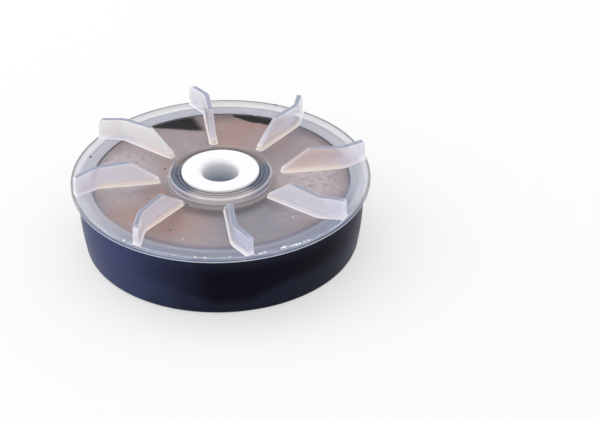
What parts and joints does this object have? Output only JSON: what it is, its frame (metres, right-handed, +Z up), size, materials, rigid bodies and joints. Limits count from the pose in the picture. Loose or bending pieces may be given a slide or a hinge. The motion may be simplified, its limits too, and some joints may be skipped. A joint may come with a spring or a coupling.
{
  "type": "magnetic-drive pump impeller",
  "caption": "Open pump impeller with bent radial vanes on a translucent cover, over a sealed cup that holds a drive magnet, with a flanged bush for a fixed shaft.",
  "frame": {"origin": "on the bore axis, in the plane of the underside it stands on", "axes": "+Z up the bore axis, towards the vanes; the first vane points near +X"},
  "size_m": [0.08, 0.08, 0.0263],
  "materials": {
    "cover_plastic": "translucent natural polypropylene, smooth as moulded",
    "cup_plastic": "dark navy moulded plastic, satin",
    "bush_plastic": "white bearing plastic, smooth turned",
    "plate_steel": "dull brown-grey with copper tints",
    "magnet_ferrite": "ground ferrite"
  },
  "bodies": {
    "root": {"vane_cover": "cover_plastic", "cup": "cup_plastic", "bush": "bush_plastic", "keeper_plate": "plate_steel", "ring_magnet": "magnet_ferrite"}
  },
  "joints": []
}
